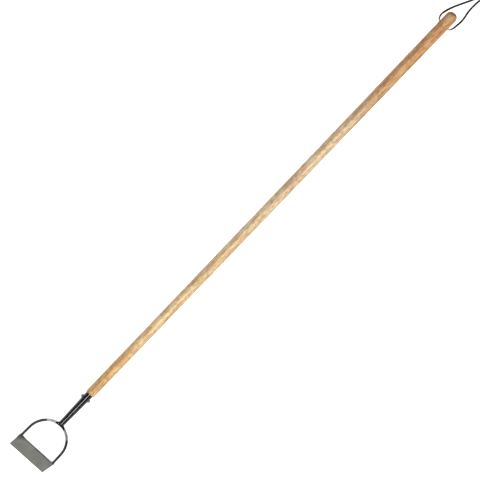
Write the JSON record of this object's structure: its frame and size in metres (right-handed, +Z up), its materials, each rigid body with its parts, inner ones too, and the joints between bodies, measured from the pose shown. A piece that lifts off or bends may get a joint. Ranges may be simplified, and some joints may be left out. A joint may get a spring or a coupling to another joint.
{
  "type": "stirrup hoe",
  "caption": "Push-pull hoe: flat blade on a round-bar stirrup, tapered black socket with a cross bolt, long turned wooden handle and a leather hanging loop.",
  "frame": {"origin": "on the ground under the middle of the tool, hanging lace aside", "axes": "+X from the blade to the end of the handle, +Y to the left looking along +X, +Z up as the tool lies with its sole facing up"},
  "size_m": [1.8284, 0.1302, 0.0323],
  "materials": {
    "ash_wood": "oiled, open grain",
    "black_paint": "gloss",
    "bare_bar": "drawn bar, smooth",
    "blade_steel": "matt, ground",
    "weld_steel": "as welded",
    "zinc_fastener": "bright zinc",
    "black_leather": "cut lace"
  },
  "bodies": {
    "root": {"handle": "ash_wood", "socket": "black_paint", "socket_weld": "black_paint", "cross_bolt": "zinc_fastener", "cross_nut": "zinc_fastener", "bow": "bare_bar", "blade": "blade_steel", "blade_weld_left": "weld_steel", "blade_weld_right": "weld_steel", "thong_left": "black_leather", "thong_right": "black_leather", "thong_knot": "black_leather"}
  },
  "joints": []
}
